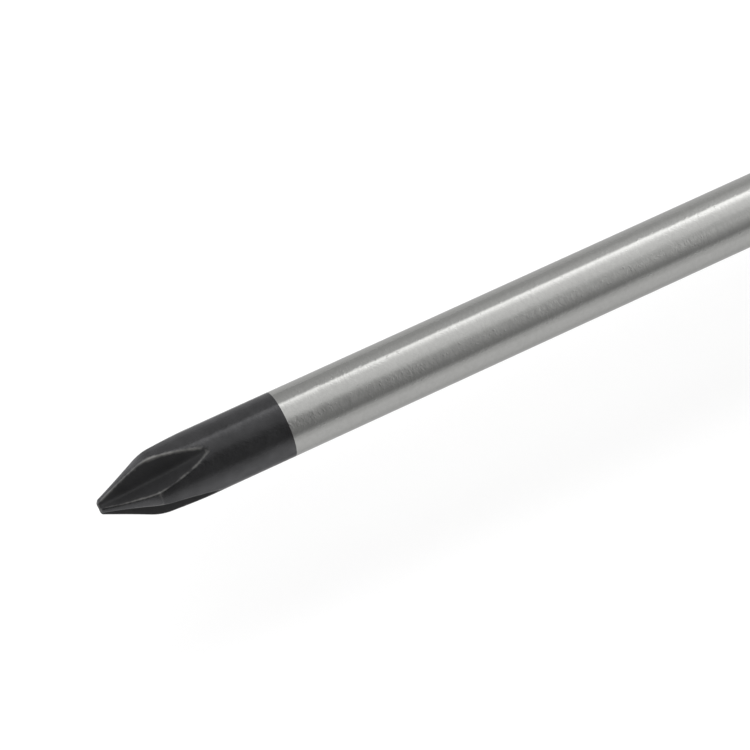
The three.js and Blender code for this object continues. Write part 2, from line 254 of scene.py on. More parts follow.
def crowded(count, crowding):
    """Shares from 0 to 1 that crowd together towards 1."""
    return [1 - (1 - t) ** crowding for t in steps(0, 1, count)]


def rounded(radius, count):
    """Pairs of insets along a quarter turn: one grows to the radius while the other shrinks from it."""
    turns = steps(0.0, math.pi / 2, count)
    return [(radius * (1 - math.cos(a)), radius * (1 - math.sin(a))) for a in turns]


def halved(low, high, too_far):
    """Value where a test turns true, found by halving the span between two others."""
    for _ in range(HALVINGS):
        middle = (low + high) / 2
        if too_far(middle):
            high = middle
        else:
            low = middle
    return middle


def around(x, direction, radius):
    """Point at a place along the tool, in a direction from upright towards +Y."""
    return Vector((x, radius * math.sin(direction), AXIS_HEIGHT + radius * math.cos(direction)))


# Mesh building.


def skin(shape, rows, closed=True, slot=0):
    """Adds smooth faces between rows of points. Closed rows run right round."""
    made = [[shape.verts.new(point) for point in row] for row in rows]
    count = len(rows[0])
    for near, far in zip(made, made[1:]):
        for i in range(count if closed else count - 1):
            j = (i + 1) % count
            face = shape.faces.new((near[i], near[j], far[j], far[i]))
            face.smooth = True
            face.material_index = slot
    return made


def mark_wear(shape):
    """Stores how sharply each spot bulges, from 0 at a radius of 3 mm to 1 at a radius of 0.7 mm."""
    worn = shape.verts.layers.float.new("edge_wear")
    least_spacing = 0.01 * MM
    for vert in shape.verts:
        sharpest = 0.0
        for edge in vert.link_edges:
            one, other = (face.calc_center_median() for face in edge.link_faces)
            spacing = max((one - other).length, least_spacing)
            sharpest = max(sharpest, edge.calc_face_angle_signed(0.0) / spacing)
        vert[worn] = clamp((sharpest * MM - WEAR_BEND) / WEAR_BEND_SPAN)


def place_piece(shape, node, slot, *materials):
    """Joins a shape's seams, turns its faces out and puts it in place of a CAD node."""
    name = f"screwdriver_{node}"
    bmesh.ops.remove_doubles(shape, verts=shape.verts, dist=JOIN_REACH)
    bmesh.ops.recalc_face_normals(shape, faces=shape.faces)
    open_edges = [edge for edge in shape.edges if len(edge.link_faces) != 2]
    if open_edges:
        raise RuntimeError(f"{name} has {len(open_edges)} edges that don't close")
    if "edge_wear" not in shape.verts.layers.float.keys():
        mark_wear(shape)
    mesh = bpy.data.meshes.new(name)
    shape.to_mesh(mesh)
    shape.free()
    for material in materials:
        mesh.materials.append(material)
    piece = bpy.data.objects.new(name, mesh)
    bpy.context.scene.collection.objects.link(piece)
    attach(piece, "root")
    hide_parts(node)


# Blade.

# Places on its point, from the end: where the flutes start to leave the bar, and where they have run out.
LEAVING_PLACE = 5.0 * MM
RUNOUT_PLACE = 8.2 * MM

# Columns of the mesh: half the turn from one flute to the next, the least turn from a flute's middle to a
# wing's edge, how much columns crowd at that edge, and where and over what length they spread out again.
HALF_SECTOR = math.pi / WINGS
LEAST_EDGE_ANGLE = math.radians(3)
EDGE_CROWDING = 1.8
SPREAD_PLACE = 8.6 * MM
SPREAD_LENGTH = 4.5 * MM

# Rings of the mesh: shares of the flat end, shares of its rim's rounding, and the same for the first ring
# behind the rim.
END_SHARES = (0.0, 0.35, 0.7, 0.9)
RIM_SHARES = (0.0, 0.02, 0.06, 0.13, 0.23, 0.36, 0.52, 0.7, 0.9)
NOSE_SHARE = 1.15
# How far close rings reach from the crease and from the run-out, the step from them to the next rings, and
# the plain bar before the ears.
CREASE_MARGIN = 0.3 * MM
RUNOUT_LEAD = 0.95 * MM
RUNOUT_TRAIL = 0.6 * MM
RING_STEP = 0.1 * MM
EAR_MARGIN = 1 * MM

# Wear: its reach from an edge, its strength and reach at the cone's crease, its strength on the flat end,
# which bears on the screw, and how much more of it the edges of the upright wing have, partly real wear and
# partly a painted highlight.
WEAR_REACH = 0.12 * MM
CREASE_WEAR = 0.5
CREASE_REACH = 0.2 * MM
END_WEAR = 2.0
TOP_WEAR_AND_HIGHLIGHT = 0.7
# How closely the upright wing's extra wear and painted highlights keep to it, and how pale the cone's painted
# highlight is on the other wings against it.
TOP_FOCUS = 4
OTHER_CONES_HIGHLIGHT = 0.3
# Widths over which the finish of the flutes and the cone's painted highlight fade into that of the bar.
FLUTE_FADE = 0.16 * MM
CONE_FADE = 0.8 * MM

# The blade's finishes, in the order of its material slots.
CHROMED, TURNED, GROUND = range(3)


def flute_rounding(sizes, place):
    """Rounding of a flute's valley, blunter where the wheel leaves the bar."""
    leaving = ease(clamp((place - LEAVING_PLACE) / (RUNOUT_PLACE - LEAVING_PLACE)))
    return mix(sizes.valley_rounding, sizes.runout_rounding, leaving)


def flute_valley(sizes, place):
    """Distance of a flute's valley from the axis, at a place along the point."""
    wheel = sizes.wheel_radius
    reach = place + sizes.wheel_lead
    if reach >= wheel:
        return wheel
    rise = math.sqrt(wheel ** 2 - sizes.wheel_lead ** 2) - math.sqrt(wheel ** 2 - reach ** 2)
    return sizes.wing_thickness / math.sqrt(2) + flute_rounding(sizes, place) + rise


def bar_radius(sizes, place):
    """Radius of the coned bar before it is fluted."""
    cone = sizes.point_flat / 2 + place * math.tan(sizes.point_half_angle)
    return soft_min(cone, sizes.shank_diameter / 2, sizes.shoulder_rounding)


def cone_length(sizes):
    """Length of the point's cone, up to the crease where the round bar starts."""
    return (sizes.shank_diameter - sizes.point_flat) / 2 / math.tan(sizes.point_half_angle)


def flute_wall(sizes, place, across):
    """Height of a flute's wall over the axis, at a distance across from the flute's middle."""
    rounding = flute_rounding(sizes, place)
    return flute_valley(sizes, place) + math.hypot(across, rounding) - rounding


def sector_angles(sizes, place):
    """Angles from a flute's middle to a wing's middle, close together at the wing's edge."""
    radius = bar_radius(sizes, place)

    def on_wing(angle):
        return flute_wall(sizes, place, radius * math.sin(angle)) > radius * math.cos(angle)
    spread = ease(clamp((place - SPREAD_PLACE) / SPREAD_LENGTH))
    edge = max(halved(0.0, HALF_SECTOR, on_wing), LEAST_EDGE_ANGLE)
    edge = mix(edge, HALF_SECTOR / 2, spread)
    crowding = mix(EDGE_CROWDING, 1.0, spread)
    half = SECTOR_HALF_COUNT // 2
    flute = [edge * share for share in crowded(half, crowding)[:-1]]
    return flute + [mix(edge, HALF_SECTOR, t ** crowding) for t in steps(0, 1, half)]


def point_depths(sizes, place, angle, radius):
    """Depths of a spot below the bar's surface, below the flute's wall and behind the flat end."""
    wall = (flute_wall(sizes, place, radius * math.sin(angle)) - radius * math.cos(angle)) / math.sqrt(2)
    bar = (bar_radius(sizes, place) - radius) * math.cos(sizes.point_half_angle)
    return bar, wall, place


def point_radius(sizes, place, angle):
    """Radius of the fluted point at an angle from a flute's middle."""
    def outside(radius):
        bar, wall, end = point_depths(sizes, place, angle, radius)
        side = soft_min(bar, wall, sizes.edge_rounding)
        return soft_min(side, end, sizes.end_rounding) <= 0
    return halved(0.0, sizes.shank_diameter, outside)


def point_sector(sizes, place):
    """Columns from a flute's middle to a wing's middle: angle, radius, wear, cone's painted highlight,
    flute's share.
    """
    coned = ease(clamp(0.5 + (cone_length(sizes) - place) / CONE_FADE))
    columns = []
    for angle in sector_angles(sizes, place):
        radius = point_radius(sizes, place, angle)
        bar, wall, end = point_depths(sizes, place, angle, radius)
        second_nearest = sorted((bar, wall, end))[1]
        wear = math.exp(-max(second_nearest, 0.0) / WEAR_REACH)
        fluted = clamp(0.5 + (bar - wall) / FLUTE_FADE)
        columns.append((angle, radius, wear, coned, fluted))
    return columns


def blade_ring(sizes, place, shrink=1.0):
    """Points round the bar, or inside its flat end, each with its wear, cone's painted highlight and flute's
    share.
    """
    half = point_sector(sizes, place)
    sector = [(-angle, *rest) for angle, *rest in reversed(half[1:])] + half[:-1]
    creased = CREASE_WEAR * math.exp(-abs(place - cone_length(sizes)) / CREASE_REACH)
    ring = []
    for wing in range(WINGS):
        middle = sizes.wing_turn + (wing + 0.5) * math.tau / WINGS
        for angle, radius, wear, coned, fluted in sector:
            direction = middle + angle
            wear += creased * (1 - fluted) * max(0.0, math.cos(direction - sizes.rubbed_side))
            upright = max(0.0, math.cos(direction - sizes.wing_turn)) ** TOP_FOCUS
            # The upright wing's edges are rubbed more: partly wear, partly a painted highlight where the top
            # catches light.
            wear = min(wear, 1.0) * (1 + TOP_WEAR_AND_HIGHLIGHT * upright * (1 - coned))
            # The cone gets a painted highlight, paler on the upright wing, where the top catches the light.
            coned *= mix(OTHER_CONES_HIGHLIGHT, 1.0, upright)
            point = around(POINT_X + place, direction, radius * shrink)
            ring.append((point, wear if shrink == 1.0 else END_WEAR, coned, fluted))
    return ring


def tang_ring(sizes, place, ear_axis):
    """Points round the tang, with a pair of ears along a direction where one is given."""
    half_span = sizes.shank_diameter / 2 + sizes.ear_reach
    ring = []
    for point, *looks in blade_ring(sizes, place):
        direction = math.atan2(point.y, point.z - AXIS_HEIGHT)
        radius = sizes.shank_diameter / 2
        if ear_axis is not None:
            along = max(abs(math.cos(direction - ear_axis)), LEAST_SHARE)
            across = max(abs(math.sin(direction - ear_axis)), LEAST_SHARE)
            radius = max(radius, min(half_span / along, sizes.ear_thickness / 2 / across))
        ring.append((around(POINT_X + place, direction, radius), *looks))
    return ring


def point_places(sizes):
    """Places of the rings along the blackened point, closer where its form turns."""
    crease = cone_length(sizes)
    shoulder, shoulder_end = crease - CREASE_MARGIN, crease + CREASE_MARGIN
    runout, runout_end = RUNOUT_PLACE - RUNOUT_LEAD, RUNOUT_PLACE + RUNOUT_TRAIL
    places = [sizes.end_rounding * share for share in RIM_SHARES]
    for start, end, count in (
        (sizes.end_rounding * NOSE_SHARE, shoulder - RING_STEP, 24),
        (shoulder, shoulder_end, 12),
        (shoulder_end + RING_STEP, runout - RING_STEP / 2, 24),
        (runout, runout_end, 31),
        (runout_end + RING_STEP, sizes.black_length, 20),
    ):
        places += steps(start, end, count)
    return places


class SCREWDRIVER_OT_blade(Operator):
    """Builds the blade: cross point, round shank and the tang with its ears"""

    bl_idname = "screwdriver.blade"
    bl_label = "Blade"

    def execute(self, context):
        settings = context.scene.screwdriver
        sizes = settings.blade
        end = TANG_END_X - POINT_X
        black = [blade_ring(sizes, 0.0, share) for share in END_SHARES]
        black += [blade_ring(sizes, place) for place in point_places(sizes)]
        near_ears = end - sizes.ear_setback - sizes.ear_length
        far_ears = near_ears - sizes.ear_gap - sizes.ear_length
        bright = [blade_ring(sizes, place) for place in steps(sizes.black_length, far_ears - EAR_MARGIN, 60)]
        for start, axis in ((far_ears, 0.0), (near_ears, math.pi / 2)):
            stop = start + sizes.ear_length
            bright.append(tang_ring(sizes, start, None))
            bright += [tang_ring(sizes, place, axis) for place in steps(start, stop, 4)]
            bright.append(tang_ring(sizes, stop, None))
        chamfer = 0.4 * MM
        bright.append(tang_ring(sizes, end - chamfer, None))
        centre = Vector((TANG_END_X, 0.0, AXIS_HEIGHT))
        for inset in (chamfer, sizes.shank_diameter / 4, sizes.shank_diameter / 2):
            shrink = 1 - 2 * inset / sizes.shank_diameter
            ring = tang_ring(sizes, end, None)
            bright.append([(centre + (point - centre) * shrink, *looks) for point, *looks in ring])
        shape = bmesh.new()
        # The cone's share carries the cone's painted highlight.
        layers = [shape.verts.layers.float.new(name) for name in ("edge_wear", "cone_painted_highlight", "ground_flute")]
        flute_layer = layers[-1]
        for slot, rings in ((CHROMED, bright), (TURNED, black)):
            made = skin(shape, [[point for point, *_ in ring] for ring in rings], slot=slot)
            for verts, ring in zip(made, rings):
                for vert, (_, *looks) in zip(verts, ring):
                    for layer, share in zip(layers, looks):
                        vert[layer] = share
        for face in shape.faces:
            fluted = sum(vert[flute_layer] for vert in face.verts) / len(face.verts)
            if face.material_index == TURNED and fluted > 0.5 and face.calc_center_median().x > POINT_X:
                face.material_index = GROUND
        materials = [satin_chromed_steel(settings.finishes)]
        materials += [blackened_steel(settings.finishes, ground) for ground in (False, True)]
        place_piece(shape, "blade", "satin_chrome", *materials)
        return {"FINISHED"}


# Handle.

# Directions of the columns round it, and half the turn from one of its six faces to the next.
ROUND = steps(0.0, math.tau, ROUND_COUNT)[:-1]
HALF_FACE = math.pi / FACES

# Crispness of a section: 2 gives a circle, and more gives a hexagon with sharper corners.
CIRCLE = 2.0
TAIL_CRISPNESS = 4.0
SWELL_CRISPNESS = 8.0
CORE_CRISPNESS = 10.0

# The nose's flare: the share of the nose that the mouth takes up before it, and how late it opens.
FLARE_START = 0.1
FLARE_BEND = 3

# How much of the body is meshed before and behind a panel, and of the cap before and behind the hole, and
# the direction from the hole's middle to a corner of that mesh.
PANEL_LEAD = 1.6 * MM
PANEL_TRAIL = 1.3 * MM
HOLE_LEAD = 1.1 * MM
HOLE_TRAIL = 0.9 * MM
HOLE_CORNER = math.radians(50)

# The core's wall outside the ears, and the length behind the sleeve over which the core widens.
CORE_WALL = 1 * MM
CORE_FLARE = 14 * MM

# The sleeve's ribs, the fullness of their crests and the rounding of the sleeve's rims.
SLEEVE_RIBS = 6
RIB_FULLNESS = 0.8
SLEEVE_RIM = 0.35 * MM

# What is left plain of a panel before its first groove, and beside the ends of a groove.
GROOVE_LEAD = 6.5 * MM
GROOVE_MARGIN = 1.5 * MM


def hexagon_radius(direction, half_width, crispness):
    """Radius of a rounded hexagon in a direction from one of its flats."""
    def spread(angle):
        return sum(abs(math.cos(angle - k * math.pi / 3)) ** crispness for k in range(3))
    return half_width * (spread(0.0) / spread(direction)) ** (1 / crispness)


def grip_section(sizes, x):
    """Half width and crispness of the handle's section at a place behind the collar."""
    shoulder_x = MOUTH_X + sizes.nose_length + sizes.collar_width
    waist_x = shoulder_x + sizes.waist_length
    swell_x = waist_x + sizes.rise_length
    tail_x = BUTT_X - sizes.butt_rounding
    stations = [
        (shoulder_x, sizes.shoulder_diameter / 2, CIRCLE),
        (waist_x, sizes.waist_diameter / 2, CIRCLE),
        (swell_x, sizes.swell_width / 2, SWELL_CRISPNESS),
        (tail_x, sizes.tail_width / 2, TAIL_CRISPNESS),
    ]
    if x > tail_x:
        bend = math.sqrt(max(0.0, 1 - ((x - tail_x) / sizes.butt_rounding) ** 2))
        return mix(sizes.butt_flat / 2, sizes.tail_width / 2, bend), mix(CIRCLE, TAIL_CRISPNESS, bend)
    near, far = next(pair for pair in zip(stations, stations[1:]) if x <= pair[1][0] + SLACK)
    t = ease(clamp((x - near[0]) / (far[0] - near[0])))
    return mix(near[1], far[1], t), mix(near[2], far[2], t)


def grip_radius(sizes, x, direction):
    """Radius of the handle's outer surface behind the collar."""
    return hexagon_radius(direction, *grip_section(sizes, x))


def hexagon_row(x, half_width, crispness=CORE_CRISPNESS):
    """Points round a rounded hexagon, as crisp as the core and the cap's spigot if nothing else is said."""
    return [around(x, d, hexagon_radius(d, half_width, crispness)) for d in ROUND]


def grip_row(sizes, x, offset=0.0):
    """Points round the handle's outer surface, grown by an offset."""
    half_width, crispness = grip_section(sizes, x)
    return hexagon_row(x, half_width + offset, crispness)


def round_row(x, radius):
    """Points round a circle."""
    return [around(x, d, radius) for d in ROUND]


def collar_row(sizes, x, inset):
    """Points round the collar's hexagon with round corners, drawn in by an inset."""
    corner = sizes.collar_corner
    reach = (COLLAR_HALF_WIDTH - corner) / math.cos(HALF_FACE)
    flat_end = math.atan((COLLAR_HALF_WIDTH - corner) * math.tan(HALF_FACE) / (COLLAR_HALF_WIDTH - inset))
    row = []
    for d in ROUND:
        from_flat = abs((d + HALF_FACE) % (2 * HALF_FACE) - HALF_FACE)
        radius = (COLLAR_HALF_WIDTH - inset) / math.cos(from_flat)
        if from_flat > flat_end:
            slant = HALF_FACE - from_flat
            bend = (corner - inset) ** 2 - (reach * math.sin(slant)) ** 2
            radius = reach * math.cos(slant) + math.sqrt(max(0.0, bend))
        row.append(around(x, d, radius))
    return row


def seat(sizes, x, y):
    """Direction from a face's middle, and radius, where the grip's surface stands over a plan point."""
    direction = 0.0
    for _ in range(SEAT_ROUNDS):
        direction = math.asin(max(-1.0, min(1.0, y / grip_radius(sizes, x, direction))))
    return direction, grip_radius(sizes, x, direction)


def face_points(plan, turns):
    """World points of plan points (x, direction, radius, lift) on the face that is turned by an angle."""
    outward = Vector((0.0, math.sin(turns), math.cos(turns)))
    return [around(x, turns + direction, radius) + outward * lift for x, direction, radius, lift in plan]


def seated(sizes, outline, lift):
    """Plan points of an outline on the grip's surface, lifted along the face's outward direction."""
    return [(x, *seat(sizes, x, y), lift) for x, y in outline]


def loop(*sides):
    """Runs of values joined into a closed one. Each run ends where the next one starts."""
    return [value for side in sides for value in side[:-1]]


def panel_half_width(sizes, x):
    """Half the width that a grip panel can have at a place along the handle."""
    return grip_section(sizes, x)[0] * math.tan(HALF_FACE) - sizes.panel_rib / 2


def panel_outline(sizes, grow, arc_steps, side_steps):
    """Plan points round a grip panel: front end, right side, rear end, left side."""
    front, rear = panel_half_width(sizes, PANEL_X), panel_half_width(sizes, PANEL_END_X)
    front_x, rear_x = PANEL_X + front, PANEL_END_X - rear
    lean = math.acos((front - rear) / (rear_x - front_x))

    def spot(x, radius, angle):
        return x + (radius + grow) * math.cos(angle), (radius + grow) * math.sin(angle)
    along = steps(0, 1, side_steps)
    return loop(
        [spot(front_x, front, a) for a in steps(math.tau - lean, lean, arc_steps)],
        [spot(mix(front_x, rear_x, t), mix(front, rear, t), lean) for t in along],
        [spot(rear_x, rear, a) for a in steps(lean, -lean, arc_steps)],
        [spot(mix(rear_x, front_x, t), mix(rear, front, t), -lean) for t in along],
    )


def panel_spine(sizes, arc_steps, side_steps):
    """Plan points on a grip panel's middle line, one for each point of its outline."""
    shrunk = panel_outline(sizes, -panel_half_width(sizes, PANEL_X), arc_steps, side_steps)
    return [(x, 0.0) for x, _ in shrunk]


def between(outer, inner, t):
    """Plan points a share of the way from one outline to another."""
    return [(mix(a[0], b[0], t), mix(a[1], b[1], t)) for a, b in zip(outer, inner)]


def patch_border(sizes, start_x, end_x, half_angle, across_steps, along_steps):
    """Plan points round a patch of the grip's surface, in the same order as an outline."""
    def spot(x, direction):
        return x, grip_radius(sizes, x, direction) * math.sin(direction)
    return loop(
        [spot(start_x, d) for d in steps(-half_angle, half_angle, across_steps)],
        [spot(x, half_angle) for x in steps(start_x, end_x, along_steps)],
        [spot(end_x, d) for d in steps(half_angle, -half_angle, across_steps)],
        [spot(x, -half_angle) for x in steps(end_x, start_x, along_steps)],
    )


def pocket_rows(sizes, start_x, end_x):
    """Plan rows of one face of the body: its surface, the lip of the pocket, the wall and the floor."""
    along = 48
    border = patch_border(sizes, start_x, end_x, HALF_FACE, FACE_COUNT, along)
    gap, lip = sizes.seam, sizes.lip_rounding
    depth = -sizes.panel_depth - sizes.seam

    def outline(grow):
        return panel_outline(sizes, grow, FACE_COUNT, along)
    rows = [seated(sizes, between(border, outline(gap + lip), t), 0.0) for t in crowded(8, crowding=1.6)]
    rows += [seated(sizes, outline(gap + b), -a) for a, b in rounded(lip, 4)[1:]]
    rows += [seated(sizes, outline(gap), depth)]
    spine = panel_spine(sizes, FACE_COUNT, along)
    rows += [seated(sizes, between(outline(gap), spine, t), depth) for t in (0.4, 0.8, 1.0)]
    return rows


class SCREWDRIVER_OT_handle_body(Operator):
    """Builds the hard body: nose, anti-roll collar, groove for the sleeve and pockets for the panels"""

    bl_idname = "screwdriver.handle_body"
    bl_label = "Handle body"

    def execute(self, context):
        settings = context.scene.screwdriver
        sizes = settings.handle
        shape = bmesh.new()
        shank = settings.blade.shank_diameter / 2
        bore, bore_chamfer = shank + sizes.seam, 0.3 * MM
        collar_x = MOUTH_X + sizes.nose_length
        back_x = collar_x + sizes.collar_width
        mouth, flare = sizes.mouth_diameter / 2, sizes.flare_diameter / 2
        bevel, lip = sizes.collar_rounding, sizes.lip_rounding
        fillet, fillet_run = 0.4 * MM, 0.3 * MM
        groove = -sizes.sleeve_depth - sizes.seam
        front_x, rear_x = PANEL_X - PANEL_LEAD, PANEL_END_X + PANEL_TRAIL
        groove_x, groove_end_x = SLEEVE_X - sizes.seam, SLEEVE_END_X + sizes.seam
        cavity_x = CORE_X - sizes.fit
        cavity = shank + settings.blade.ear_reach + CORE_WALL + sizes.fit

        rows = [round_row(cavity_x, bore), round_row(MOUTH_X + bore_chamfer, bore)]
        rows.append(round_row(MOUTH_X, bore + bore_chamfer))
        rows += [round_row(MOUTH_X + a, mouth - b) for a, b in rounded(sizes.mouth_rounding, 6)]
        for t in steps(FLARE_START, 1.0, 26):
            rows.append(round_row(mix(MOUTH_X, collar_x, t), mix(mouth, flare, t ** FLARE_BEND)))
        rows += [collar_row(sizes, collar_x + a, b) for a, b in rounded(bevel, 7)]
        rows += [collar_row(sizes, x, 0.0) for x in steps(collar_x + bevel, back_x - bevel, 3)[1:-1]]
        rows += [collar_row(sizes, back_x - b, a) for a, b in rounded(bevel, 7)]
        rows += [grip_row(sizes, back_x, fillet * share) for share in (1.0, 0.4)]
        rows += [grip_row(sizes, x) for x in steps(back_x + fillet_run, groove_x - lip, 5)]
        rows += [grip_row(sizes, groove_x - b, -a) for a, b in rounded(lip, 4)[1:]]
        rows += [grip_row(sizes, x, groove) for x in steps(groove_x, groove_end_x, 16)]
        rows += [grip_row(sizes, groove_end_x + a, -b) for a, b in rounded(lip, 4)]
        rows += [grip_row(sizes, x) for x in steps(groove_end_x + lip, front_x, 6)[1:]]
        skin(shape, rows)

        pocket = pocket_rows(sizes, front_x, rear_x)
        for face in range(FACES):
            skin(shape, [face_points(row, face * math.tau / FACES) for row in pocket])

        rows = [grip_row(sizes, x) for x in steps(rear_x, SEAM_X - lip, 4)]
        rows += [grip_row(sizes, SEAM_X - b, -a) for a, b in rounded(lip, 4)[1:]]
        rows += [hexagon_row(x, CORE_HALF_WIDTH + sizes.fit) for x in (SEAM_X, SLEEVE_END_X + CORE_FLARE)]
        rows += [hexagon_row(x, cavity) for x in (SLEEVE_END_X, cavity_x)]
        rows.append(round_row(cavity_x, bore))
        skin(shape, rows)
        material = spark_textured_polypropylene(settings.finishes)
        place_piece(shape, "handle_body", "hard_plastic", material)
        return {"FINISHED"}


class SCREWDRIVER_OT_waist_sleeve(Operator):
    """Builds the soft sleeve round the waist, with ribs for the fingertips"""

    bl_idname = "screwdriver.waist_sleeve"
    bl_label = "Waist sleeve"

    def execute(self, context):
        settings = context.scene.screwdriver
        sizes = settings.handle
        rim = SLEEVE_RIM

        def rise(x):
            along = (x - SLEEVE_X) / (SLEEVE_END_X - SLEEVE_X) * (SLEEVE_RIBS + 1) - 0.5
            if not 0 < along < SLEEVE_RIBS:
                return 0.0
            return sizes.rib_height * ((1 - math.cos(math.tau * along)) / 2) ** RIB_FULLNESS
        rows = [grip_row(sizes, SLEEVE_X + a, -b) for a, b in rounded(rim, 5)]
        rows += [grip_row(sizes, x, rise(x)) for x in steps(SLEEVE_X + rim, SLEEVE_END_X - rim, 112)[1:-1]]
        rows += [grip_row(sizes, SLEEVE_END_X - b, -a) for a, b in rounded(rim, 5)]
        rows += [grip_row(sizes, x, -sizes.sleeve_depth) for x in steps(SLEEVE_END_X, SLEEVE_X, 16)]
        shape = bmesh.new()
        skin(shape, rows + rows[:1])
        material = soft_touch_elastomer(settings.finishes)
        place_piece(shape, "waist_sleeve", "soft_rubber", material)
        return {"FINISHED"}


def groove_drop(sizes, x, y):
    """Depth of the finger grooves at a plan point of a grip panel."""
    start, end = PANEL_X + GROOVE_LEAD, PANEL_END_X - GROOVE_LEAD
    count = round((end - start) / sizes.groove_pitch)
    nearest = max(0, min(count, round((x - start) / (end - start) * count)))
    groove_x = mix(start, end, nearest / count)
    half_length = panel_half_width(sizes, groove_x) - GROOVE_MARGIN
    off = math.hypot(x - groove_x, max(abs(y) - half_length, 0.0))
    return sizes.groove_depth * ease(clamp(1 - 2 * off / sizes.groove_width))


class SCREWDRIVER_OT_grip_panels(Operator):
    """Builds the six soft grip panels with their finger grooves"""

    bl_idname = "screwdriver.grip_panels"
    bl_label = "Grip panels"

    def execute(self, context):
        settings = context.scene.screwdriver
        sizes = settings.handle
        arc, side = 40, 150
        rim, proud = sizes.panel_rounding, sizes.panel_proud

        def outline(grow):
            return panel_outline(sizes, grow, arc, side)
        spine = panel_spine(sizes, arc, side)
        floor = [between(spine, outline(0.0), t) for t in (0.0, 0.5, 1.0)]
        plan = [seated(sizes, row, -sizes.panel_depth) for row in floor]
        plan += [seated(sizes, outline(-a), proud - b) for a, b in rounded(rim, 6)]
        for t in steps(0, 1, 14)[1:]:
            row = between(outline(-rim), spine, t)
            seats = seated(sizes, row, proud)
            drops = [groove_drop(sizes, x, y) for x, y in row]
            plan.append([(*spot[:3], spot[3] - drop) for spot, drop in zip(seats, drops)])
        material = soft_touch_elastomer(settings.finishes)
        for face in range(FACES):
            shape = bmesh.new()
            skin(shape, [face_points(row, face * math.tau / FACES) for row in plan])
            place_piece(shape, f"grip_panel_{face + 1}", "soft_rubber", material)
        return {"FINISHED"}


class SCREWDRIVER_OT_end_cap(Operator):
    """Builds the hard end cap with its hang hole, rounded butt and spigot"""

    bl_idname = "screwdriver.end_cap"
    bl_label = "End cap"

    def execute(self, context):
        settings = context.scene.screwdriver
        sizes = settings.handle
        shape = bmesh.new()
        seam_x = SEAM_X + sizes.seam
        lip = sizes.lip_rounding
        centre_x = BUTT_X - sizes.hole_setback
        hole, rim = sizes.hole_diameter / 2, sizes.hole_rounding
        front_x, rear_x = centre_x - hole - rim - HOLE_LEAD, centre_x + hole + rim + HOLE_TRAIL
        half_columns, along = 22, 26
        half_angle = half_columns * math.tau / ROUND_COUNT
        tail_x = BUTT_X - sizes.butt_rounding
        flat = sizes.butt_flat / 2
        recess = sizes.marker_diameter / 2 + sizes.seam
        floor_x = BUTT_X - sizes.marker_thickness - sizes.seam
        spigot_chamfer, edge = 0.4 * MM, 0.15 * MM

        rows = [hexagon_row(CAP_X, CORE_HALF_WIDTH * share) for share in (0.0, 0.5, 0.95)]
        rows += [hexagon_row(x, CORE_HALF_WIDTH) for x in (CAP_X + spigot_chamfer, seam_x)]
        rows += [grip_row(sizes, seam_x + a, -b) for a, b in rounded(lip, 4)]
        rows += [grip_row(sizes, x) for x in steps(seam_x + lip, front_x, 3)[1:]]
        skin(shape, rows)

        sides = [grip_row(sizes, x) for x in steps(front_x, rear_x, along)]
        far = ROUND_COUNT // 2
        for start in (half_columns, far + half_columns):
            stop = start + far - 2 * half_columns + 1
            skin(shape, [row[start:stop] for row in sides], closed=False)

        bend = math.asin((rear_x - tail_x) / sizes.butt_rounding)
        rows = []
        for angle in steps(bend, math.pi / 2, 10):
            rows.append(grip_row(sizes, tail_x + sizes.butt_rounding * math.sin(angle)))
        rows += [round_row(BUTT_X, radius) for radius in steps(flat, recess + edge, 3)[1:]]
        rows += [round_row(BUTT_X - a, recess + b) for a, b in rounded(edge, 3)[1:]]
        rows += [round_row(floor_x, radius) for radius in (recess, recess / 2, 0.0)]
        skin(shape, rows)

        angles = loop(
            steps(math.pi + HOLE_CORNER, math.pi - HOLE_CORNER, 2 * half_columns),
            steps(math.pi - HOLE_CORNER, HOLE_CORNER, along),
            steps(HOLE_CORNER, -HOLE_CORNER, 2 * half_columns),
            steps(-HOLE_CORNER, HOLE_CORNER - math.pi, along),
        )

        def ring(radius):
            return [(centre_x + radius * math.cos(a), radius * math.sin(a)) for a in angles]
        border = patch_border(sizes, front_x, rear_x, half_angle, 2 * half_columns, along)
        plan = [seated(sizes, between(border, ring(hole + rim), t), 0.0) for t in crowded(8, crowding=1.5)]
        plan += [seated(sizes, ring(hole + b), -a) for a, b in rounded(rim, 6)[1:]]
        patches = [[face_points(row, turns) for row in plan] for turns in (0.0, math.pi)]
        for patch in patches:
            skin(shape, patch)
        top = patches[0][-1]
        wall = []
        for t in steps(0, 1, 8):
            wall.append([Vector((p.x, p.y, mix(p.z, 2 * AXIS_HEIGHT - p.z, t))) for p in top])
        skin(shape, wall)
        material = spark_textured_polypropylene(settings.finishes)
        place_piece(shape, "end_cap", "hard_plastic", material)
        return {"FINISHED"}


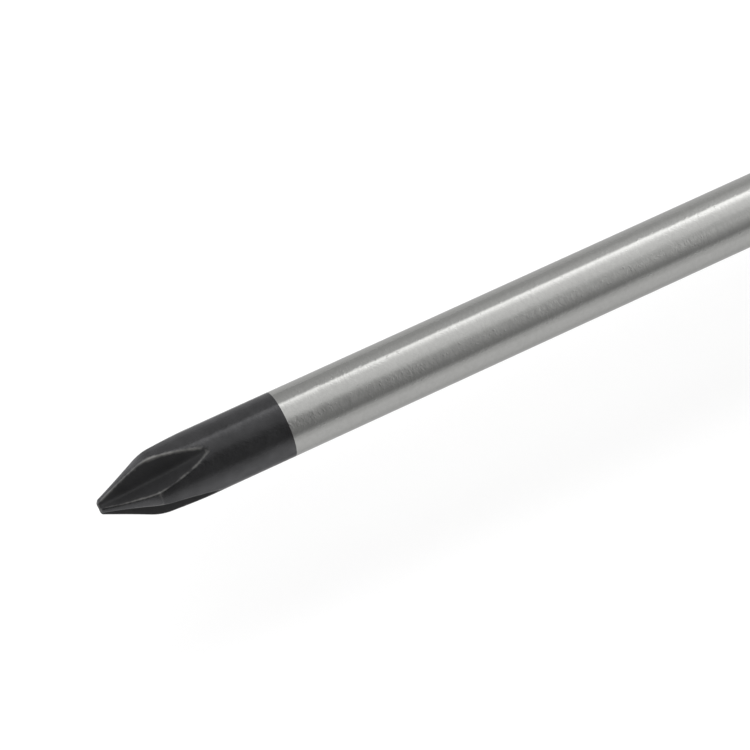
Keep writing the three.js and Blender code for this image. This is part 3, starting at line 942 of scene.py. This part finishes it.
class SCREWDRIVER_OT_marker_disc(Operator):
    """Builds the disc in the butt with its sunk cross"""

    bl_idname = "screwdriver.marker_disc"
    bl_label = "Marker disc"

    def execute(self, context):
        settings = context.scene.screwdriver
        sizes = settings.handle
        shape = bmesh.new()
        radius, back_x = sizes.marker_diameter / 2, BUTT_X - sizes.marker_thickness
        corner = math.atan(sizes.mark_width / sizes.mark_length)
        octant = loop(steps(0.0, corner, 4), steps(corner, math.pi / 4, 12))
        quadrant = octant + [math.pi / 4] + [math.pi / 2 - a for a in reversed(octant[1:])]
        directions = [q * math.pi / 2 + a for q in range(4) for a in quadrant]

        def cross(grow):
            half_length, half_width = sizes.mark_length / 2 + grow, sizes.mark_width / 2 + grow
            reach = []
            for d in directions:
                along, across = max(abs(math.cos(d)), LEAST_SHARE), max(abs(math.sin(d)), LEAST_SHARE)
                arms = (half_length / along, half_width / across), (half_length / across, half_width / along)
                reach.append(max(min(arm) for arm in arms))
            return reach

        def row(x, radii):
            return [around(x, d, r) for d, r in zip(directions, radii)]

        def circle(x, r):
            return row(x, [r] * len(directions))
        edge, lip = 0.25 * MM, 0.12 * MM
        rows = [circle(back_x, r) for r in (0.0, radius / 2, radius)]
        rows += [circle(BUTT_X - b, radius - a) for a, b in rounded(edge, 4)]
        for t in steps(0, 1, 5)[1:]:
            rows.append(row(BUTT_X, [mix(radius - edge, r, t) for r in cross(lip)]))
        rows += [row(BUTT_X - a, cross(b)) for a, b in rounded(lip, 3)[1:]]
        skin(shape, rows)
        floor_x = BUTT_X - sizes.mark_depth
        sunk = [rows[-1], row(floor_x, cross(0.0))]
        sunk += [row(floor_x, [r * share for r in cross(0.0)]) for share in (0.6, 0.0)]
        skin(shape, sunk, slot=1)
        materials = [polished_abs(settings.finishes), mark_paint(settings.finishes)]
        place_piece(shape, "marker_disc", "marker_plastic", *materials)
        return {"FINISHED"}


class SCREWDRIVER_OT_tang_core(Operator):
    """Gives the hidden core round the tang its finish"""

    bl_idname = "screwdriver.tang_core"
    bl_label = "Tang core"

    def execute(self, context):
        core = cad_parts["tang_core"]
        core.data.materials.clear()
        core.data.materials.append(moulded_nylon(context.scene.screwdriver.finishes))
        return {"FINISHED"}


# Materials.

# Nearly all values of a noise pattern lie in this span.
NOISE_SPAN = {"From Min": 0.3, "From Max": 0.7}


def add(tree, kind, inputs=None, **settings):
    """Adds a shader node with its settings. An input takes a value, a socket, or a node's first output."""
    node = tree.nodes.new("ShaderNode" + kind)
    for name, value in settings.items():
        setattr(node, name, value)
    for socket, value in (inputs or {}).items():
        source = value.outputs[0] if isinstance(value, Node) else value
        if isinstance(source, NodeSocket):
            tree.links.new(source, node.inputs[socket])
        else:
            node.inputs[socket].default_value = source
    return node


def new_material(name):
    """An empty node material, its tree and the object's own coordinates in it."""
    material = bpy.data.materials.new(name)
    material.use_nodes = True
    tree = material.node_tree
    tree.nodes.clear()
    return material, tree, add(tree, "TexCoord").outputs["Object"]


def per_mm(*millimetres):
    """Scale of a pattern whose features are this many millimetres apart, everywhere or along X, Y and Z."""
    scales = [1 / (size * MM) for size in millimetres]
    return scales if len(scales) > 1 else scales[0]


def satin_chromed_steel(finishes):
    """Steel bar, centreless ground and satin chrome plated.

    Grinding leaves fine rings round the bar, so reflections are drawn out along it and keep crisp edges
    across it. The plating dulls in small patches, which makes the edges of dark reflections ragged.
    """
    material, tree, place = new_material("satin_chromed_steel")
    rings = add(tree, "Mapping", {"Vector": place, "Scale": per_mm(0.3, 0.45, 0.45)})
    grind = add(tree, "TexNoise", {"Vector": rings, "Scale": 1.0, "Detail": 2.0, "Distortion": 0.8})
    spells = add(tree, "Mapping", {"Vector": place, "Scale": per_mm(4.0, 2.0, 2.0)})
    bouts = add(tree, "TexNoise", {"Vector": spells, "Scale": 1.0, "Detail": 2.0})
    strong = add(tree, "MapRange", {
        "Value": bouts, "From Min": 0.45, "From Max": 0.62, "To Min": 0.25, "To Max": 1.15})
    scores = add(tree, "Math", {0: grind, 1: strong}, operation="MULTIPLY")
    dabs = add(tree, "Mapping", {"Vector": place, "Scale": per_mm(0.7, 1.1, 1.1)})
    patches = add(tree, "TexNoise", {"Vector": dabs, "Scale": 1.0, "Detail": 4.0})
    dulled = add(tree, "MapRange", {"Value": patches, **NOISE_SPAN, "To Min": 0.1, "To Max": 0.16})
    shade = add(tree, "MapRange", {"Value": grind, **NOISE_SPAN, "To Min": 0.97, "To Max": 1.03})
    colour = add(tree, "VectorMath", {0: (*finishes.chrome,), "Scale": shade}, operation="SCALE")
    # Pits in the plating are about 0.1 mm wide. They are drawn at 0.25 mm, so that they show.
    dust = add(tree, "TexNoise", {"Vector": place, "Scale": per_mm(0.25), "Detail": 1.0})
    pits = add(tree, "MapRange", {"Value": dust, "From Min": 0.64, "From Max": 0.8})
    relief = add(tree, "Bump", {"Height": pits, "Strength": 1.0, "Distance": 0.004 * MM})
    for height, depth in ((scores, 0.008 * MM), (patches, 0.01 * MM)):
        relief = add(tree, "Bump", {
            "Height": height, "Strength": 1.0, "Distance": depth, "Normal": relief})
    tangent = add(tree, "Tangent", direction_type="RADIAL", axis="X")
    surface = add(tree, "BsdfPrincipled", {
        "Base Color": colour, "Metallic": 1.0, "Roughness": dulled, "Specular Tint": (0.7, 0.7, 0.7, 1.0),
        "Anisotropic": 0.4, "Anisotropic Rotation": 0.25, "Normal": relief, "Tangent": tangent})
    add(tree, "OutputMaterial", {"Surface": surface})
    return material


def blackened_steel(finishes, ground):
    """Hardened steel, turned or ground by a coarse wheel, blackened in a hot salt bath and oiled.

    On the turned bar the black is half glossy and frays the edges of reflections, and the cone has a painted
    highlight that makes it paler, most on the upright wing. In the flutes, which the wheel left rough, it is
    dull.
    It is rubbed through to bare steel along the wings' edges and at the cone's crease, in soft broken lines,
    and the upright wing's edges are paler still, partly from wear and partly from a painted highlight.
    """
    # The oxide film mirrors as a very dark metal does, and more as it is seen more aslant. In the rough
    # flutes it only scatters, from any side.
    if ground:
        name, oxide, metal, aslant, cone_highlight = "ground_black_steel", finishes.flute, 0.0, 1.0, 1.0
        dullness, specular = (0.42, 0.58), 0.4
    else:
        name, oxide, metal, aslant, cone_highlight = "turned_black_steel", finishes.black, 0.85, 3.4, 1.7
        dullness, specular = (0.13, 0.24), 0.15
    material, tree, place = new_material(name)
    # Tool marks are about 0.05 mm wide. They are drawn at 0.3 mm, so that they show.
    grain = add(tree, "TexNoise", {"Vector": place, "Scale": per_mm(0.3), "Detail": 2.0})
    blotches = add(tree, "TexNoise", {"Vector": place, "Scale": per_mm(1.3), "Detail": 3.0})
    # The edge wear on the upright wing also holds a painted highlight.
    worn = add(tree, "Attribute", attribute_name="edge_wear").outputs["Fac"]
    patchy = add(tree, "MapRange", {
        "Value": blotches, "From Min": 0.35, "From Max": 0.65, "To Min": 0.55, "To Max": 1.15})
    spread = add(tree, "Math", {0: worn, 1: patchy}, operation="MULTIPLY")
    bitten = add(tree, "Math", {0: grain, 1: 0.5}, operation="SUBTRACT")
    ragged = add(tree, "Math", {0: bitten, 1: 0.7, 2: spread}, operation="MULTIPLY_ADD")
    rubbed = add(tree, "MapRange", {
        "Value": ragged, "From Min": 0.35, "From Max": 1.6, "To Min": 0.0, "To Max": 0.75})
    shade = add(tree, "MapRange", {"Value": blotches, **NOISE_SPAN, "To Min": 0.85, "To Max": 1.15})
    facing = add(tree, "LayerWeight", {"Blend": 0.5}).outputs["Facing"]
    film = add(tree, "MapRange", {"Value": facing, "To Min": 1.0, "To Max": aslant})
    mirror = add(tree, "Math", {0: shade, 1: film}, operation="MULTIPLY")
    # Painted highlight: the cone is painted paler, most on the upright wing.
    coned = add(tree, "Attribute", attribute_name="cone_painted_highlight").outputs["Fac"]
    paler = add(tree, "MapRange", {"Value": coned, "To Min": 1.0, "To Max": cone_highlight})
    dark = add(tree, "Math", {0: mirror, 1: paler}, operation="MULTIPLY")
    black = add(tree, "VectorMath", {0: (*oxide,), "Scale": dark}, operation="SCALE")
    colour = add(tree, "Mix", {
        "Factor": rubbed, "A": black, "B": (*finishes.bare, 1.0)}, data_type="RGBA").outputs[2]
    bright = add(tree, "MapRange", {"Value": rubbed, "To Min": metal, "To Max": 1.0})
    sheen = add(tree, "MapRange", {
        "Value": grain, **NOISE_SPAN, "To Min": dullness[0], "To Max": dullness[1]})
    rough = add(tree, "Math", {0: worn, 1: 0.25, 2: sheen}, operation="MULTIPLY_ADD")
    bump = add(tree, "Bump", {"Height": grain, "Strength": 1.0, "Distance": 0.011 * MM})
    surface = add(tree, "BsdfPrincipled", {
        "Base Color": colour, "Metallic": bright, "Roughness": rough, "Specular IOR Level": specular,
        "Specular Tint": (0.5, 0.5, 0.5, 1.0), "Normal": bump})
    add(tree, "OutputMaterial", {"Surface": surface})
    return material


def finish_plastic(tree, colour, tone, gloss, bump, ior):
    """Ends the nodes of a plastic or a paint: its colour times a tone, its gloss, its relief and its IOR."""
    toned = add(tree, "VectorMath", {0: (*colour,), "Scale": tone}, operation="SCALE")
    surface = add(tree, "BsdfPrincipled", {
        "Base Color": toned, "Roughness": gloss, "IOR": ior, "Normal": bump})
    add(tree, "OutputMaterial", {"Surface": surface})


def spark_textured_polypropylene(finishes):
    """Polypropylene, moulded against a spark-eroded steel mould.

    It has an even satin face of tiny soft pits, a little shinier where hands rub it, with hardly any change
    of colour, and is scuffed pale along its edges.
    """
    material, tree, place = new_material("spark_textured_polypropylene")
    # Spark pits are about 0.08 mm wide. They are drawn at 0.3 mm, so that they show.
    pits = add(tree, "TexNoise", {"Vector": place, "Scale": per_mm(0.3), "Detail": 2.0})
    rubbing = add(tree, "TexNoise", {"Vector": place, "Scale": per_mm(7.0), "Detail": 4.0})
    shade = add(tree, "MapRange", {"Value": rubbing, **NOISE_SPAN, "To Min": 0.95, "To Max": 1.05})
    worn = add(tree, "Attribute", attribute_name="edge_wear").outputs["Fac"]
    scuffs = add(tree, "TexNoise", {"Vector": place, "Scale": per_mm(0.8), "Detail": 4.0})
    bitten = add(tree, "Math", {0: scuffs, 1: 0.5}, operation="SUBTRACT")
    ragged = add(tree, "Math", {0: bitten, 1: 1.6, 2: worn}, operation="MULTIPLY_ADD")
    pale = add(tree, "MapRange", {
        "Value": ragged, "From Min": 0.3, "From Max": 1.0, "To Min": 1.0, "To Max": 1.5})
    tone = add(tree, "Math", {0: shade, 1: pale}, operation="MULTIPLY")
    gloss = add(tree, "MapRange", {"Value": rubbing, **NOISE_SPAN, "To Min": 0.34, "To Max": 0.5})
    bump = add(tree, "Bump", {"Height": pits, "Strength": 1.0, "Distance": 0.018 * MM})
    finish_plastic(tree, finishes.body, tone, gloss, bump, 1.49)
    return material


def soft_touch_elastomer(finishes):
    """Thermoplastic elastomer, moulded over the hard body against a blasted mould.

    It is near black and matt, with a fine even tooth, a faint grey bloom from handling and greyed ribs.
    """
    material, tree, place = new_material("soft_touch_elastomer")
    # The mould's tooth is about 0.1 mm wide. It is drawn at 0.35 mm, so that it shows.
    tooth = add(tree, "TexNoise", {"Vector": place, "Scale": per_mm(0.35), "Detail": 2.0})
    bloom = add(tree, "TexNoise", {"Vector": place, "Scale": per_mm(5.0), "Detail": 5.0})
    shade = add(tree, "MapRange", {"Value": bloom, **NOISE_SPAN, "To Min": 0.85, "To Max": 1.25})
    worn = add(tree, "Attribute", attribute_name="edge_wear").outputs["Fac"]
    broken = add(tree, "Math", {0: worn, 1: bloom}, operation="MULTIPLY")
    greyed = add(tree, "MapRange", {
        "Value": broken, "From Min": 0.1, "From Max": 0.6, "To Min": 1.0, "To Max": 2.2})
    tone = add(tree, "Math", {0: shade, 1: greyed}, operation="MULTIPLY")
    gloss = add(tree, "MapRange", {"Value": bloom, **NOISE_SPAN, "To Min": 0.66, "To Max": 0.8})
    bump = add(tree, "Bump", {"Height": tooth, "Strength": 1.0, "Distance": 0.03 * MM})
    finish_plastic(tree, finishes.rubber, tone, gloss, bump, 1.5)
    return material


def plain_finish(name, colour, spacing, detail, shade, gloss, depth, ior):
    """Plastic or paint whose shade, gloss and relief follow one pattern, spaced in mm along X, Y and Z."""
    material, tree, place = new_material(name)
    scaled = add(tree, "Mapping", {"Vector": place, "Scale": per_mm(*spacing)})
    pattern = add(tree, "TexNoise", {"Vector": scaled, "Scale": 1.0, "Detail": detail})
    levels = []
    for low, high in (shade, gloss):
        span = {**NOISE_SPAN, "To Min": low, "To Max": high}
        levels.append(add(tree, "MapRange", {"Value": pattern, **span}))
    bump = add(tree, "Bump", {"Height": pattern, "Strength": 1.0, "Distance": depth * MM})
    finish_plastic(tree, colour, *levels, bump, ior)
    return material


def polished_abs(finishes):
    """ABS, moulded against a polished mould.

    It is smooth and half glossy, with faint flow marks from the moulding.
    """
    return plain_finish(
        "polished_abs", finishes.marker, spacing=(2.5, 2.5, 2.5), detail=4.0,
        shade=(0.96, 1.03), gloss=(0.26, 0.38), depth=0.02, ior=1.54)


def mark_paint(finishes):
    """Acrylic paint, wiped into the sunk cross.

    It is dark and uneven, thicker in places, with a dull face.
    """
    return plain_finish(
        "mark_paint", finishes.mark, spacing=(0.6, 0.6, 0.6), detail=4.0,
        shade=(0.8, 1.3), gloss=(0.5, 0.7), depth=0.04, ior=1.49)


def moulded_nylon(finishes):
    """Glass-filled nylon, moulded round the tang.

    It is dark, with short pale glass fibres that lie along the flow and dull its face.
    """
    return plain_finish(
        "moulded_nylon", finishes.core, spacing=(1.2, 0.2, 0.2), detail=3.0,
        shade=(0.85, 1.3), gloss=(0.5, 0.65), depth=0.02, ior=1.53)


# Stage.

# Half the width of the strip of paper along the tool that is lit most, and how far the paper lies below it.
LIT_PAPER = 40 * MM
PAPER_DROP = 0.02 * MM

# Brightness of the light tent round the tool's length, in degrees from overhead towards +Y. The tent has a
# dark gap on the camera's side, a broad overhead sheet, a brighter strip at the back and a dim back wall.
LIGHT_TENT = (
    (-90, 0.76), (-82, 0.5), (-76, 0.37), (-66, 0.41), (-52, 0.56), (-40, 0.67), (-27, 0.77), (-12, 1.13),
    (-2, 1.24), (14, 1.38), (22, 1.7), (29, 2.15), (33, 2.34), (36.5, 2.34), (43, 0.93), (58, 0.79),
    (72, 0.66), (82, 0.66), (90, 0.74),
)
# How much brighter the tent gets for each tenth that a direction leans towards the handle, counted from a
# middle lean and as far as a reach to either side of it.
TENT_SLANT = (
    (-90, 0.12), (-74, 0.1), (-62, 0.2), (-42, 0.44), (-34, 0.38), (-18, 0.02), (8, 0.08), (24, 0.24),
    (38, 0.12), (48, 0.24), (74, 0.08), (90, 0.15),
)
MIDDLE_LEAN = 0.275
LEAN_REACH = 0.175
TENTHS = 10


def matt_paper(settings):
    """Heavy studio paper, rolled out matt.

    It is pale and even with a very faint tooth, reads as white where it is seen, and takes soft shadows.
    """
    material, tree, place = new_material("matt_paper")
    tooth = add(tree, "TexNoise", {"Vector": place, "Scale": per_mm(0.5), "Detail": 2.0})
    bump = add(tree, "Bump", {"Height": tooth, "Strength": 0.3, "Distance": 0.01 * MM})
    rays = add(tree, "LightPath").outputs
    mirrored = add(tree, "Math", {
        0: rays["Is Glossy Ray"], 1: rays["Is Transmission Ray"]}, operation="MAXIMUM")
    # The paper's far reaches are lit less than the paper round the tool, which shows only in reflections.
    sideways = add(tree, "SeparateXYZ", {0: place}).outputs["Y"]
    distance = add(tree, "Math", {0: sideways}, operation="ABSOLUTE")
    close = add(tree, "Math", {0: LIT_PAPER, 1: distance}, operation="DIVIDE")
    nearness = add(tree, "MapRange", {"Value": close, "To Min": 0.44, "To Max": 0.86})
    paler = add(tree, "Math", {0: mirrored, 1: nearness}, operation="MULTIPLY")
    seen = add(tree, "Math", {0: rays["Is Camera Ray"], 1: paler}, operation="MAXIMUM")
    lift = add(tree, "Math", {0: seen, 1: settings.floor_lift}, operation="MULTIPLY")
    surface = add(tree, "BsdfPrincipled", {
        "Base Color": (*settings.floor, 1.0), "Roughness": 0.95, "Specular IOR Level": 0.0, "Normal": bump,
        "Emission Color": (1.0, 1.0, 1.0, 1.0), "Emission Strength": lift})
    add(tree, "OutputMaterial", {"Surface": surface})
    return material


def light_tent():
    """World that lights the tool as a studio tent does, brighter towards the handle."""
    world = bpy.data.worlds.new("light_tent")
    world.use_nodes = True
    tree = world.node_tree
    tree.nodes.clear()
    toward = add(tree, "TexCoord").outputs["Generated"]
    parts = add(tree, "SeparateXYZ", {0: toward}).outputs
    angle = add(tree, "Math", {0: parts["Y"], 1: parts["Z"]}, operation="ARCTAN2")
    share = add(tree, "MapRange", {
        "Value": angle, "From Min": -math.pi / 2, "From Max": math.pi / 2})
    curves = []
    for table in (LIGHT_TENT, TENT_SLANT):
        curve = add(tree, "ValToRGB", {"Fac": share})
        highest = max(level for _, level in table)
        stops = curve.color_ramp.elements
        while len(stops) < len(table):
            stops.new(1.0)
        for stop, (degrees, level) in zip(stops, table):
            stop.position = (degrees + 90) / 180
            stop.color = (*[level / highest] * 3, 1.0)
        curves.append(add(tree, "Math", {0: curve, 1: highest}, operation="MULTIPLY"))
    lean = add(tree, "MapRange", {
        "Value": parts["X"], "From Min": MIDDLE_LEAN - LEAN_REACH, "From Max": MIDDLE_LEAN + LEAN_REACH,
        "To Min": -TENTHS * LEAN_REACH, "To Max": TENTHS * LEAN_REACH})
    gain = add(tree, "Math", {0: lean, 1: curves[1], 2: 1.0}, operation="MULTIPLY_ADD")
    strength = add(tree, "Math", {0: curves[0], 1: gain}, operation="MULTIPLY")
    light = add(tree, "Background", {"Color": (1.0, 1.0, 1.0, 1.0), "Strength": strength})
    add(tree, "OutputWorld", {"Surface": light})
    return world


class SCREWDRIVER_OT_stage(Operator):
    """Builds the floor, the light tent and the camera"""

    bl_idname = "screwdriver.stage"
    bl_label = "Stage"

    def execute(self, context):
        scene = context.scene
        settings = scene.screwdriver.stage
        half = settings.floor_size / 2
        shape = bmesh.new()
        places = steps(-half, half, 12)
        skin(shape, [[Vector((x, y, -PAPER_DROP)) for y in places] for x in places], closed=False)
        mesh = bpy.data.meshes.new("floor")
        shape.to_mesh(mesh)
        shape.free()
        mesh.materials.append(matt_paper(settings))
        floor = bpy.data.objects.new("floor", mesh)
        scene.collection.objects.link(floor)
        scene.world = light_tent()

        lens = bpy.data.cameras.new("camera")
        lens.lens = settings.lens
        lens.sensor_width = 36.0
        lens.clip_start = 0.01
        lens.clip_end = 20.0
        camera = bpy.data.objects.new("camera", lens)
        azimuth, elevation = settings.camera_azimuth, settings.camera_elevation
        level = math.cos(elevation)
        back = Vector((math.sin(azimuth) * level, -math.cos(azimuth) * level, math.sin(elevation)))
        facing = back.to_track_quat("Z", "Y").to_matrix().to_4x4()
        camera.matrix_world = Matrix.Translation(settings.camera_place) @ facing
        scene.collection.objects.link(camera)
        scene.camera = camera
        scene.view_settings.view_transform = "Standard"
        return {"FINISHED"}


class SCREWDRIVER_PT_pieces(Panel):
    """Lists the pieces, their sizes and their colours"""

    bl_idname = "SCREWDRIVER_PT_pieces"
    bl_label = "Screwdriver"
    bl_space_type = "VIEW_3D"
    bl_region_type = "UI"
    bl_category = "Screwdriver"

    def draw(self, context):
        layout = self.layout
        for operator in OPERATORS:
            layout.operator(operator.bl_idname)
        settings = context.scene.screwdriver
        for title, group in (
            ("Blade", settings.blade), ("Handle", settings.handle),
            ("Finishes", settings.finishes), ("Stage", settings.stage),
        ):
            box = layout.box()
            box.label(text=title)
            for name in group.__annotations__:
                box.prop(group, name)


OPERATORS = (
    SCREWDRIVER_OT_stage, SCREWDRIVER_OT_blade, SCREWDRIVER_OT_tang_core, SCREWDRIVER_OT_handle_body,
    SCREWDRIVER_OT_waist_sleeve, SCREWDRIVER_OT_grip_panels, SCREWDRIVER_OT_end_cap,
    SCREWDRIVER_OT_marker_disc,
)
CLASSES = (
    BladeSizes, HandleSizes, Finishes, StageSettings, ScrewdriverSettings, *OPERATORS, SCREWDRIVER_PT_pieces,
)


def register():
    """Registers the classes and the settings."""
    for kind in CLASSES:
        bpy.utils.register_class(kind)
    bpy.types.Scene.screwdriver = PointerProperty(type=ScrewdriverSettings)


def unregister():
    """Takes the settings and the classes away again."""
    del bpy.types.Scene.screwdriver
    for kind in reversed(CLASSES):
        bpy.utils.unregister_class(kind)


def main():
    """Builds the stage and every piece."""
    register()
    bpy.ops.screwdriver.stage()
    bpy.ops.screwdriver.blade()
    bpy.ops.screwdriver.tang_core()
    bpy.ops.screwdriver.handle_body()
    bpy.ops.screwdriver.waist_sleeve()
    bpy.ops.screwdriver.grip_panels()
    bpy.ops.screwdriver.end_cap()
    bpy.ops.screwdriver.marker_disc()


if __name__ == "__main__":
    main()
